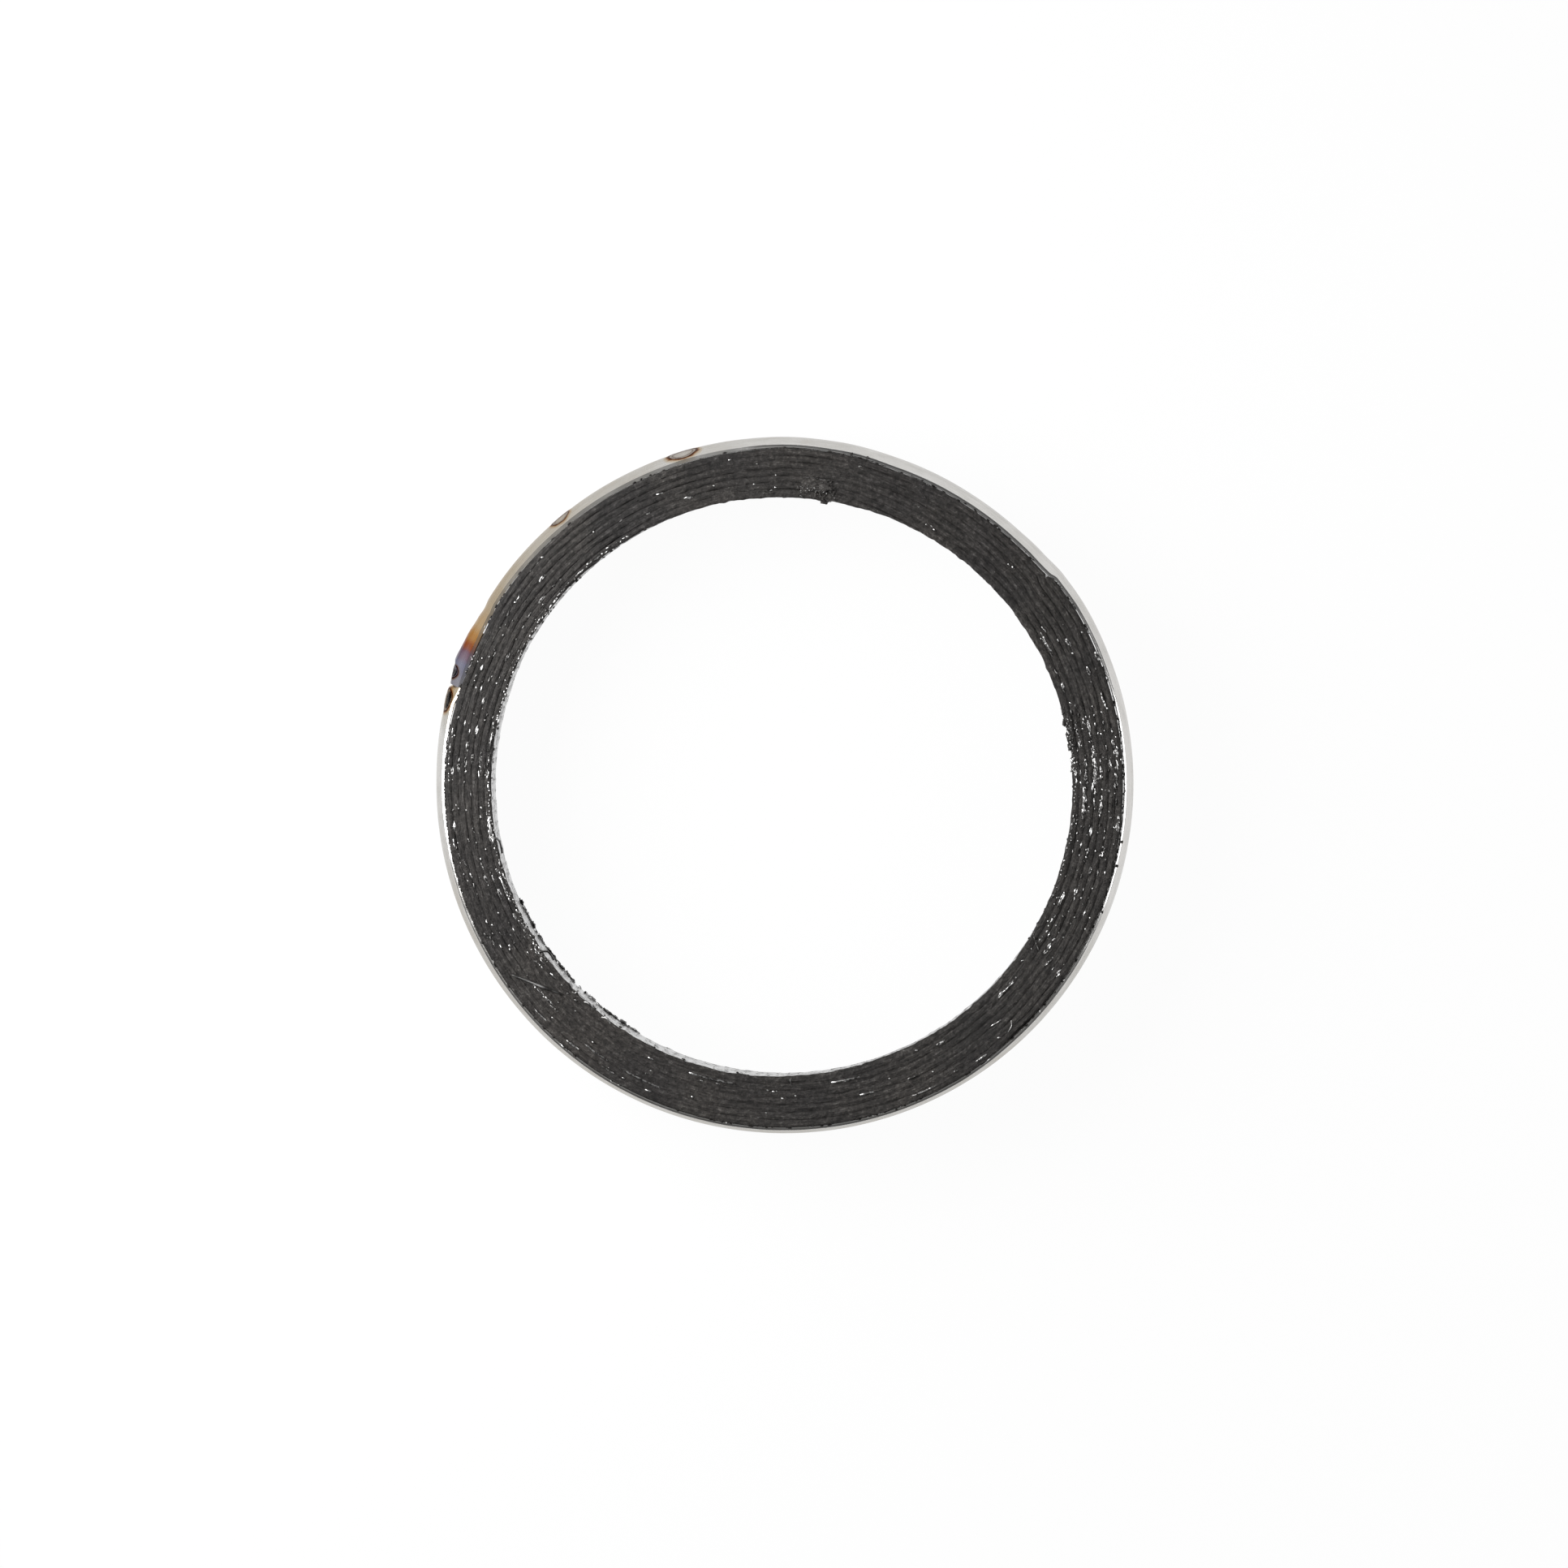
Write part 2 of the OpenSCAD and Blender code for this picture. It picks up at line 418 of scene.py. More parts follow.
def rim_r(deg):
    deg = BAND_FROM + (deg - BAND_FROM) % 360
    if deg < CLIMB_AT:
        off = band_off(deg)
    else:
        off = PX * (1.7 - 2.6 * smooth((deg - CLIMB_AT) / CLIMB_SPAN))
    return LIP_R - 0.04 - tuck(deg) + off


def climb_share(k):
    return 0.06 + 0.012 * k


def level(t):
    k = math.floor(t)
    share = climb_share(k)
    return k + smooth((t - k - 1 + share) / share)


def layers_at(deg):
    f = ((deg - FOIL_START) % 360) / 360
    full = 1 - smooth((f - TURNS % 1 + 0.004) / 0.008)
    share = climb_share(LAYERS - 2)
    return full * LAYERS + (1 - full) * (LAYERS - 1 + smooth((f - 1 + share) / share))


def lean(z):
    return LEAN_LOW.lerp(LEAN_HIGH, z / RING_H)


def wound(level_out, deg, z):
    share = level_out / layers_at(deg)
    r = BORE_R + (rim_r(deg) - BORE_R) * share
    return around(r, deg, z) + lean(z) * (1 - share)


print("turns of foil:", TURNS, "from", FOIL_START, "to", FOIL_STOP % 360)

# %% [markdown]
# ## The foil
# One long grid becomes the strip. Its section is a thin upright bar with rounded ends, and
# the rounding leaves a shallow groove between two turns. A plain spiral would look machined,
# so each seam wanders, opens into a crack in some places and is smeared shut in others. The
# outer side of one turn and the inner side of the next read the same numbers, one turn apart,
# so the seam stays one line. The innermost edge is the most ragged, because nothing held it.
# `bore_edge` gives its shape, counted in layers of foil, and the knit in the bore uses it too.
# The upper edge is torn most at 9 degrees, and the lower one has a fringe near 220 degrees.

# %% Seams between the turns
FOIL_BEGIN = -0.058
PITCH = (LIP_R - BORE_R) / LAYERS
SEAM_SHOWS = [
    (0, 0.7), (30, 0.7), (60, 0.55), (90, 0.7), (130, 0.75), (180, 0.65), (205, 0.5),
    (224, 0.22), (300, 0.18), (325, 0.45), (345, 0.7), (360, 0.7)]
BORE_SHAPE = [
    (0, 0.0), (25, -1.0), (60, -1.9), (92, -2.2), (105, -1.0), (120, 0.2), (145, 1.2),
    (165, 1.0), (185, 0.0), (240, 0.5), (258, 0.7), (275, -1.0), (290, -1.7), (310, -0.6),
    (345, -0.5), (360, 0.0)]


def run_at(t):
    return math.radians(FOIL_START + 360 * t) * MID_R


def seam_level(t):
    run = run_at(t)
    return level(t) + 0.08 * grain(run * 0.2, 1.0) + 0.05 * grain(run * 0.7, 7.0)


def seam_open(t):
    run = run_at(t)
    gape = 0.5 + grain(run * 0.15, 12.0) + 0.7 * grain(run * 0.8, 15.0)
    return min(max(gape, 0.06), 1.5) * eased(SEAM_SHOWS, (FOIL_START + 360 * t) % 360)


def bore_edge(t, deg, face):
    run = run_at(t)
    torn = (1.0 if face > 0 else 0.6) + 1.8 * near(deg, 9.0, 7.0)
    fringe = near(deg, 220.0, 18.0) if face < 0 else 0.0
    out = torn * (0.13 * grain(run * 0.5, 4.0, face) + 0.13 * grain(run * 1.6, 9.0, face))
    out -= (0.08 + 0.25 * fringe) * max(0.0, grain(run * 1.1, 40.0, face))
    if face > 0:
        return out + eased(BORE_SHAPE, deg % 360) * PX / PITCH
    return out + 0.4 * near(deg, 140.0, 30.0)


# %% [markdown]
# The section goes round from the inner side (0) over the upper edge to the outer side (1)
# and back under the lower edge. Only the corners near a face are moved: they are rounded
# more where the seam gapes, and made uneven. A notch marks the strip's inner end, and the
# last turn comes away from the band at the lower right.

# %% Foil strip
FOIL_STEPS = 4300
COVERED_FROM, IN_BORE_TO = 0.93, 0.94  # turns at which the strip leaves the wall of the bore
LAST_TURN = 5.86
NOTCH_DEG = 82.5
RIM_GAP, INTO_BORE = 0.02, 0.55  # left inside the band, and allowed into the bore, in layers
EDGE = [
    (0.0, -0.60), (0.0, -0.16), (0.09, -0.105), (0.23, -0.05), (0.41, -0.005), (0.59, -0.005),
    (0.77, -0.05), (0.91, -0.105), (1.0, -0.16), (1.0, -0.60)]
SECTION = [(y, RING_H + z) for y, z in EDGE] + [(1.0, HALF_H)]
SECTION += [(y, -z) for y, z in reversed(EDGE)] + [(0.0, HALF_H)]


def unevenness(run, y, t, face):
    return (0.05 * grain(run * 0.22, t * 3, face) + 0.05 * grain(run * 1.1, y * 1.5, t)
            + 0.035 * grain(run * 2.7, y * 3.0, t + face) - 0.035)


def rim_slack(deg):
    slack = 1.1 * near(deg, 313.5, 5.5) + 0.3 * near(deg, 321, 6)
    return slack + 0.12 * max(0.0, grain(deg * 0.4, 21.0))


columns = []
for i in range(FOIL_STEPS + 1):
    t = FOIL_BEGIN + (TURNS - FOIL_BEGIN) * i / FOIL_STEPS
    deg = FOIL_START + 360 * t
    open_in, open_out = seam_open(t), seam_open(t + 1)
    inner = seam_level(t) + 0.05 * max(open_in - 0.5, 0.0) if t > COVERED_FROM else 0.0
    outer = seam_level(t + 1) - 0.05 * max(open_out - 0.5, 0.0)
    rim = layers_at(deg) - RIM_GAP
    outer = rim if t > TURNS - 1 else min(outer, rim)
    sides = max(inner, 0.0), max(outer, inner + 0.03)
    columns.append((t, deg, run_at(t), *sides, open_in, open_out))

bm, spots, kept = flat_strip(FOIL_STEPS, len(SECTION), "along", "across", "seam")
for v, u, j in spots:
    t, deg, run, inner, outer, open_in, open_out = columns[round(u * FOIL_STEPS)]
    y, z = SECTION[j % len(SECTION)]
    face = 1 if z > HALF_H else -1
    past = abs(z - HALF_H) - HALF_H
    at_face = past > -0.5
    gape = open_in if y < 0.5 else open_out
    out = inner + (outer - inner) * y
    if at_face:
        z = HALF_H + face * (HALF_H + past * (0.3 + 0.6 * gape))
        z += face * unevenness(run, y, t, face)
    if at_face and t < 2.2:
        z -= face * 0.5 * near(deg, NOTCH_DEG, 1.3) * smooth(1 - abs(t + y - 1.3) / 0.6)
    if at_face and 0.0 < y < 1.0:
        out += 0.05 * grain(run * 1.9, y * 4.0, t)
    if at_face and face > 0 and t > LAST_TURN and y > 0.7:
        out -= rim_slack(deg) * (y - 0.7) / 0.3
    if t < IN_BORE_TO and y < 0.3 and abs(z - HALF_H) > HALF_H - 1.2:
        out += bore_edge(t, deg, face)
        z -= face * 0.14 * max(0.0, grain(run * 1.2, 30.0, face))
    z = min(max(z, 0.0), RING_H)
    v.co = wound(min(max(out, -INTO_BORE), layers_at(deg) - RIM_GAP), deg, z)
    v[kept[0]] = run
    v[kept[1]] = y + math.floor(t) * 3.7
    # The seam value is the mask of the painted ridge shading: nought in the middle of a turn, which
    # is painted lighter, and highest at a seam that gapes, which is painted darkest.
    shown = min(0.3 + 0.6 * gape, 1.0) if t > IN_BORE_TO or y > 0.5 else 0.3
    v[kept[2]] = abs(2 * y - 1) * shown
foil = finished(bm, "wound_foil", graphite, 60.0)
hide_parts("graphite_foil")

# %% [markdown]
# ## The band
# The hoop is one strip of sheet. Its section is a thin slice of a wide arc, so the hoop is
# barrel-shaped and its rims lean in over the roll. Extra points beside each rim keep the
# shading of the wide outside apart from that of the narrow edge.

# %% Section of the strip
BAND_T = 0.3
BAND_W = RING_H - 1.0
CROWN = 0.54
ARC_R = ((BAND_W / 2) ** 2 + CROWN ** 2) / (2 * CROWN)


def arc_point(height, depth):
    z = height * BAND_W / 2
    r = ARC_R - depth
    return r * math.cos(math.asin(z / ARC_R)) - ARC_R + BAND_T, HALF_H + z


OUTER = [arc_point(h, 0.0) for h in (-0.975, -0.955)]
OUTER += [arc_point(-0.91 + 1.82 * i / 22, 0.0) for i in range(23)]
OUTER += [arc_point(h, 0.0) for h in (0.955, 0.975)]
INNER = [arc_point(0.995 - 1.99 * i / 8, BAND_T) for i in range(9)]
RIM_TOP = [arc_point(0.983, 0.06), arc_point(0.992, 0.15), arc_point(0.999, 0.24)]
RIM_LOW = [(r, RING_H - z) for r, z in reversed(RIM_TOP)]
STRIP = OUTER + RIM_TOP + INNER + RIM_LOW
print("points round the strip's section:", len(STRIP))

# %% [markdown]
# Rolled round by a little more than a full turn, the strip's free end lies on the end it
# started from. The spot welds are shallow oval dishes with a raised lip, each given by its
# direction, height, half width, half height and scorching. At the lap, welding has pressed
# the sheet in, by the photo's pixels in `PRESSED`, and crinkled the free end. The upper lips
# of both ends are folded together there, and the covered one lies lower. The rim is slanted
# round most of the ring, and flat from the top of the photo to the lap.

# %% Hoop of steel strip
BAND_STEPS = 1110
FLAT_RIM = 0.637  # depth of the flat rim below the face
LIP_FROM, LIP_RISE = 8.6, 2.9  # heights over which the sheet leans in to its upper lip
DISH, DISH_LIP = 0.10, 0.04
FOLD_FROM, CRINKLE_FROM, COVERED_TO = 508.5, 514, 166.8
FLAT_FROM, FLAT_TO = 450, 164
WELDS = [
    (467.0, 8.3, 1.42, 2.5, 0.0), (490.0, 8.0, 1.05, 2.2, 0.0), (520.9, 8.3, 0.6, 1.7, 0.9),
    (165.6, 8.8, 1.1, 2.1, 1.0)]
PRESSED = [
    (153, 0.0), (158, 0.2), (160, 1.0), (161, 1.9), (162.4, 3.0), (163.1, 3.2), (163.8, -1.2),
    (165.4, -1.1), (166.4, -0.7), (167.3, 0.0), (519, 0.0), (520.1, 2.0), (521, 2.8),
    (522, 2.9), (523, 3.3)]
# Heat tint along the band, which also paints light: the lowest values, at the right and the left
# where the band faces the lamps, leave it painted lightest.
HEAT_TINT_AND_PAINTED_LIGHT = [
    (153, 0.3), (163, 0.30), (166, 0.26), (168.5, 0.10), (172, 0.02), (182, 0.04), (200, 0.09),
    (300, 0.08), (328, 0.05), (345, 0.0), (372, 0.0), (390, 0.03), (440, 0.04), (458, 0.06),
    (466, 0.08), (480, 0.11), (495, 0.18), (507, 0.29), (511.5, 0.39), (514, 0.51),
    (515.8, 0.60), (517.3, 0.72), (520, 0.84), (523, 0.95)]


def weld_gap(deg, z):
    gaps = []
    for a, h, wide, tall, burn in WELDS:
        gap = math.hypot(math.radians(deg - a) * HOOP_R / wide, (z - h) / tall)
        gaps.append((gap, burn))
    return min(gaps)


bm, spots, kept = flat_strip(BAND_STEPS, len(STRIP), "along", "oxide_and_painted_light", "weld", "scorch")
for v, u, j in spots:
    off, z = STRIP[j % len(STRIP)]
    deg = BAND_FROM + (BAND_TO - BAND_FROM) * u
    gap, burn = weld_gap(deg, z)
    dish = -DISH * (1 - smooth(gap)) + DISH_LIP * math.exp(-((gap - 1.1) / 0.2) ** 2)
    at_lip = smooth((z - LIP_FROM) / LIP_RISE)
    below_lip = 1 - smooth((z - 9.2) / 2)
    folded = 1.25 * smooth((deg - FOLD_FROM) / 3) * at_lip
    under = smooth((COVERED_TO - deg) / 4.5) * at_lip
    crinkled = smooth((deg - CRINKLE_FROM) / 4) * (1 - at_lip)
    flat = smooth((deg - FLAT_FROM) / 12) + (1 - smooth((deg - FLAT_TO) / 5))
    r = LIP_R + CROWN + off + band_off(deg) * (1 - folded) + (dish if off > -0.25 else 0.0)
    r -= tuck(deg) * at_lip + 3.2 * PX * under + PX * eased(PRESSED, deg) * below_lip
    r += 0.05 * grain(deg * 0.7, z * 0.6, 5.0) * crinkled
    z -= 0.3 * under
    z -= flat * max(0.0, z - (RING_H - FLAT_RIM))
    v.co = around(r, deg, z + 0.03 * grain(deg * 0.35, 50.0 + z))
    low = smooth((RING_H - 0.5 - z) / 3.5)
    fade = 0.85 + 0.15 * low if deg < 505 else 1.0
    v[kept[0]] = math.radians(deg) * HOOP_R
    v[kept[1]] = eased(HEAT_TINT_AND_PAINTED_LIGHT, deg + grain(z * 0.5, deg * 0.05)) * fade
    v[kept[2]] = gap
    burnt = burn * (1 - smooth((gap - 0.5) / 0.8))
    v[kept[3]] = burnt * (0.85 + 0.3 * smooth((z - 8.5) / 2.0))
hoop = finished(bm, "steel_hoop", band_steel, 50.0)
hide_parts("outer_band")

# %% [markdown]
# ## The knitted wire
# The knitted strip lies between the turns of foil, and only the tops of its loops come
# through at the faces. Each top is a short bridge of wire, so each one is a short curve
# that rises out of a groove and dives back in. A curve with a round bevel makes a wire
# with few faces, and all the curves are turned into one mesh at the end.

# %% Helpers for wire
def new_wires(name, radius):
    curve = bpy.data.curves.new(name, "CURVE")
    curve.dimensions = "3D"
    curve.bevel_depth = radius * MM
    curve.bevel_resolution = 1
    curve.use_fill_caps = True
    return curve


def wire(curve, points, thick=1.0):
    spline = curve.splines.new("POLY")
    spline.points.add(len(points) - 1)
    for target, p in zip(spline.points, points):
        target.co = (*(p * MM), 1.0)
        target.radius = thick * (1 + 0.35 * grain(p.x * 4.0, p.y * 4.0, p.z * 4.0))


def wires_done(curve, name, material):
    holder = bpy.data.objects.new(name, curve)
    mesh = bpy.data.meshes.new_from_object(holder)
    bpy.data.objects.remove(holder)
    bpy.data.curves.remove(curve)
    mesh.name = name
    for p in mesh.polygons:
        p.use_smooth = True
    return placed(mesh, name, material)


# %% [markdown]
# Where loops stand up from the groove they show in pairs, as two bowed wires with a dark
# middle, like an eye. Between them only short bits and flecks come through. A strand is laid
# out by a function that says where it goes: along a groove of the winding, or at a distance
# from the middle in the photo's pixels. On the lower face the wires stay above the floor.

# %% Single bits of wire
def strand(curve, place, deg, length, bow=0.0, skew=0.0, top=-0.05, steps=5, face=1, wave=0.03,
           thick=1.0):
    points = []
    for i in range(steps + 1):
        s = i / steps - 0.5
        arch = 1 - (2 * s) ** 2
        a = deg + arc_deg(s * length, MID_R)
        off = bow * arch + skew * s + wave * grain(a * 2.3, length * 9.0)
        z = top - 0.20 * (2 * s) ** 4 + wave * grain(a * 2.0, 60.0 + length)
        z = RING_H + min(z, -0.04) if face > 0 else 0.06 - min(z, -0.05)
        points.append(place(a, off, z))
    wire(curve, points, thick * rng.uniform(0.75, 1.25))


def shifted(place, by):
    return lambda deg, off, z: place(deg, off + by, z)


def eye(curve, place, deg, face=1):
    length = rng.uniform(0.7, 1.25)
    skew = rng.uniform(-0.1, 0.1)
    for bow in (rng.uniform(0.04, 0.13), -rng.uniform(0.04, 0.13)):
        strand(curve, place, deg + rng.uniform(-0.3, 0.3), length * rng.uniform(0.8, 1.1), bow,
               skew, rng.uniform(-0.09, -0.02), face=face)
    strand(curve, place, deg + rng.uniform(-0.8, 0.8), rng.uniform(0.25, 0.5), 0.0,
           rng.uniform(-0.2, 0.2), -0.04, 3, face)


def bit(curve, place, deg, face=1):
    strand(curve, shifted(place, rng.uniform(-0.09, 0.09)), deg, rng.uniform(0.3, 0.85),
           rng.uniform(-0.06, 0.06), rng.uniform(-0.1, 0.1), rng.uniform(-0.09, -0.02), 4, face)


def fleck(curve, place, deg, face=1):
    strand(curve, shifted(place, rng.uniform(-0.12, 0.12)), deg, rng.uniform(0.12, 0.3), 0.0,
           rng.uniform(-0.12, 0.12), rng.uniform(-0.08, -0.02), 3, face)


def in_groove(k):
    def place(deg, off, z):
        t = k + ((deg - FOIL_START) % 360) / 360
        return wound(min(seam_level(t + 1), layers_at(deg) - 0.1) + off / PITCH, deg, z)
    return place


def in_photo(r_px):
    def place(deg, off, z):
        return around(r_px * PX + off, deg, z) + Vector((0.0, 3.3 * PX, 0.0))
    return place


# %% [markdown]
# The left and right of the ring show many wires, the top and bottom few. The marked places
# below are those where the wire shows most on the upper face, each by the directions where
# it starts and stops and its distance from the middle in the photo's pixels: chains of bits,
# spaced wider where the photo shows fewer, and long wires. The rest is scattered along the
# grooves, at the rate in `SHOWS`, and the torn edge at the right is full of flecks.

# %% Loops that show at the faces
GROOVES = LAYERS - 1
CHAINS = [
    (2.6, 6.4, 410), (2.4, 5.0, 401), (0, 7.2, 383), (0, 7.0, 381), (0, 2.4, 370),
    (3.6, 4.8, 370), (7.2, 12.9, 365), (10.7, 12.9, 375), (0, 3.3, 357.5), (6.2, 11.7, 354),
    (13.4, 16.2, 405), (21.7, 22.7, 415), (25.8, 30.6, 365), (43.2, 44.9, 387), (59.2, 62, 364),
    (144.5, 145.9, 400), (147.8, 148.8, 400), (154.7, 156.4, 392), (156.2, 159.3, 413),
    (160.2, 162.6, 402), (159.3, 160.7, 384), (165.5, 166.5, 384), (170.5, 180, 413),
    (172.9, 174.6, 393), (175.5, 178.4, 393), (173.6, 178.4, 375), (189.3, 191, 413),
    (192.9, 194.3, 405), (196.2, 198.4, 377), (200.5, 201.5, 375), (210, 211, 393),
    (206.5, 209, 408), (218.2, 224.9, 394), (215.3, 217.5, 374), (243.5, 244.5, 376),
    (300.6, 303, 371), (310.6, 312.5, 392), (315.4, 320.6, 370), (327, 330, 381),
    (332.6, 334.2, 380), (328.3, 334, 368), (336.4, 339.5, 368), (336.4, 337.4, 401),
    (346, 348.6, 380), (347.7, 349, 401), (352.2, 354.5, 412), (354, 355.5, 389),
    (358.8, 360, 379), (353.4, 360, 368), (337, 360, 357), (122, 168, 362), (168, 180, 365),
    (185.3, 191.5, 367), (196.2, 203, 367), (206.8, 216.3, 366), (180, 190.2, 363.5),
    (190, 204, 363.5), (204, 217, 363.5)]
LONG = [
    (0, 6.6, 382), (25.8, 30.6, 365.5), (221.6, 225, 413), (229.2, 232.3, 413),
    (236.8, 239.5, 413), (232.3, 237.8, 403), (239.5, 247.8, 403), (250.7, 261.2, 373),
    (292, 296.8, 414), (304.2, 307, 414), (283.6, 286.2, 393), (292.5, 295, 393),
    (278.6, 284.8, 371), (353.4, 359, 368), (169, 174, 365), (186, 190, 366), (198, 202, 367)]
SHOWS = [
    (0, 0.75), (12, 0.5), (20, 0.14), (40, 0.03), (130, 0.03), (145, 0.14), (158, 0.26),
    (178, 0.28), (200, 0.24), (225, 0.18), (250, 0.05), (300, 0.03), (318, 0.05), (332, 0.22),
    (350, 0.5), (360, 0.75)]
SPACING = [(0, 0.85), (12, 1.0), (300, 1.0), (312, 1.6), (340, 1.5), (352, 1.1), (360, 0.9)]

top_wires = new_wires("top_loops", 0.076)
for first, last, r_px in CHAINS:
    place = in_photo(r_px)
    along_edge = last - first > 9
    deg = first + 0.4
    while deg < last:
        kinds = (bit, fleck) if along_edge else (eye, bit, bit, bit, fleck)
        rng.choice(kinds)(top_wires, place, deg)
        deg += arc_deg(rng.uniform(0.26, 0.5) * eased(SPACING, deg), MID_R)
for first, last, r_px in LONG:
    length = math.radians(last - first) * MID_R
    strand(top_wires, in_photo(r_px), (first + last) / 2, length, top=-0.03,
           steps=round(length / 0.2), wave=0.05, thick=1.35)
for face in (1, -1):
    for k in range(GROOVES):
        deg = rng.uniform(0, 3)
        while deg < 360:
            if rng.random() < (eased(SHOWS, deg) if face > 0 else 0.34):
                kind = rng.choice((eye, bit, bit, bit, fleck, fleck, fleck, fleck))
                kind(top_wires, in_groove(k), deg, face)
            deg += arc_deg(rng.uniform(0.6, 1.1), MID_R)
    for _ in range(700):
        deg = rng.uniform(0, 360)
        if rng.random() < (0.01 + eased(SHOWS, deg) if face > 0 else 0.4):
            if face > 0:
                place = in_photo(rng.uniform(362, 415))
            else:
                place = in_groove(rng.randrange(GROOVES))
            fleck(top_wires, place, deg, face)
for _ in range(70):
    fleck(top_wires, in_photo(rng.uniform(353, 359)), rng.uniform(2.5, 15.5))
print("bits of wire at the faces:", len(top_wires.splines))
loops = wires_done(top_wires, "mesh_loops", wire_steel)
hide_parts("wire_mesh")

# %% [markdown]
# The outermost turn of mesh was squeezed out along the rim of the band at the left and the
# right, and lies there as a bright broken line on the steel. At the lap and above it only
# short bits of it show.

# %% Wire along the rim of the band
RIM_R = 32.0
RIM_FROM, RIM_TO = 140.0, 400
RIM_SHOWS = [
    (140, 0.08), (150, 0.2), (165, 0.22), (170, 0.95), (188, 0.95), (198, 0.5), (206, 0.06),
    (315, 0.06), (336, 0.4), (340, 0.9), (368, 0.9), (375, 0.35), (384, 0.2), (396, 0.25),
    (400, 0.0)]


def on_rim(deg, off, z):
    return around(rim_r(deg) + 0.07 + off, deg, z - 0.28)


rim_wires = new_wires("rim_wires", 0.07)
deg = RIM_FROM
while deg < RIM_TO:
    if rng.random() < eased(RIM_SHOWS, deg):
        lengths = (0.12, 0.15, 0.2) if deg < 166 else (0.15, 0.2, 0.3, 0.6, 0.9)
        strand(rim_wires, on_rim, deg, rng.choice(lengths), rng.uniform(-0.06, 0.08),
               rng.uniform(-0.06, 0.06), rng.uniform(-0.10, 0.04), 4)
    deg += arc_deg(rng.uniform(0.2, 0.45), RIM_R)
wires_done(rim_wires, "rim_wire", wire_steel)

# %% [markdown]
# The bore shows the knit itself, pressed almost flush into the polished graphite. Each row
# of the knit is one wire that swings up and down and doubles back on itself a little at
# every loop. It follows the torn edges of the wall, so that it lies equally deep all over.

# %% Knit in the bore
WALES, COURSES, LOOP_STEPS = 86, 8, 12
KNIT_DEPTH = 0.074
bore_wires = new_wires("bore_knit", 0.08)
for row in range(COURSES):
    points = []
    for i in range(WALES * LOOP_STEPS + 1):
        turn = i / LOOP_STEPS
        swing = 2 * math.pi * turn
        deg = (turn + 0.17 * math.sin(2 * swing)) * 360 / WALES
        z = (row + 0.5) * RING_H / COURSES - 0.95 * math.cos(swing)
        z = min(max(z + 0.12 * grain(deg * 0.3, row), 0.3), RING_H - 0.3)
        t = ((deg - FOIL_START - 360 * FOIL_BEGIN) % 360) / 360 + FOIL_BEGIN
        to_edge = min(abs(z / HALF_H - 1) / 0.9, 1.0)
        depth = KNIT_DEPTH + 0.006 * math.sin(2 * swing)
        sink = depth * layers_at(deg) / (rim_r(deg) - BORE_R)
        edge = bore_edge(t, deg, 1 if z > HALF_H else -1)
        points.append(wound(sink + to_edge * edge, deg, z))
    wire(bore_wires, points)
wires_done(bore_wires, "bore_knit", wire_steel)

# %% [markdown]
# ## Loose ends of wire
# A few wires have come out of the knit: one lies across the face at the lower left, hooks
# hang into the bore, and short ends stand up near the band. A smooth curve through a few
# points is enough for each. A point is given by its distance from the middle in the photo's
# pixels, its direction, and its height. The thick wires are sooty and the fine ones bright.
# Short bits of both make a fringe at the lower edge of the bore, at the lower left.

# %% Helpers for loose wires
def on_face(r_px, deg, z):
    return in_photo(r_px)(deg, 0.0, z)


def path(curve, corners, steps=6):
    corners = [corners[0]] + corners + [corners[-1]]
    points = []
    for p0, p1, p2, p3 in zip(corners, corners[1:], corners[2:], corners[3:]):
        for i in range(steps):
            s = i / steps
            points.append(0.5 * (2 * p1 + (p2 - p0) * s + (2 * p0 - 5 * p1 + 4 * p2 - p3) * s * s
                                 + (3 * p1 - p0 - 3 * p2 + p3) * s ** 3))
    points.append(corners[-2])
    wire(curve, points)


def fringe_deg(before, after):
    return rng.choice((rng.uniform(*before), rng.gauss(219, 3.0), rng.uniform(*after)))


def fringe_bit(curve):
    deg = fringe_deg((203, 212), (226, 239))
    start, drop = rng.uniform(-0.3, 0.05), rng.uniform(0.12, 0.5)
    step = rng.uniform(0.15, 0.45)
    path(curve, [wound(start + rng.uniform(-0.1, 0.1), deg + step * k,
                       drop + rng.uniform(-0.02, 0.1)) for k in range(4)], 2)


# %% Dark loose wires
loose = new_wires("loose_ends", 0.1)
DARK_ENDS = [
    [(409, 214.9, 11.9), (399, 217.0, 12.08), (386, 220.4, 12.1), (375, 223.6, 11.93)],
    [(367, 190.0, 11.9), (361, 190.5, 12.0), (357.5, 191.2, 11.8), (357, 192.4, 11.4),
     (357.5, 193.6, 11.0)],
    [(367, 214.0, 11.9), (361, 214.6, 12.0), (356.5, 215.2, 11.7), (356, 216.2, 11.2),
     (357, 217.2, 10.8)],
    [(364, 227.2, 11.85), (361.5, 227.9, 11.97), (361.5, 228.6, 11.97), (364, 229.3, 11.85)],
    [(364, 231.8, 11.85), (361.5, 232.5, 11.97), (361.5, 233.1, 11.97), (364, 233.8, 11.85)],
    [(365, 224.8, 11.85), (362, 224.9, 12.0), (359.5, 224.9, 11.8)]]
for corners in DARK_ENDS:
    path(loose, [on_face(*c) for c in corners])
for _ in range(44):
    fringe_bit(loose)
wires_done(loose, "loose_wire_ends", sooty_wire)

# %% [markdown]
# One fine wire lies in small waves beside the folded end of the foil, and curled hairs of
# wire are scattered over that end.

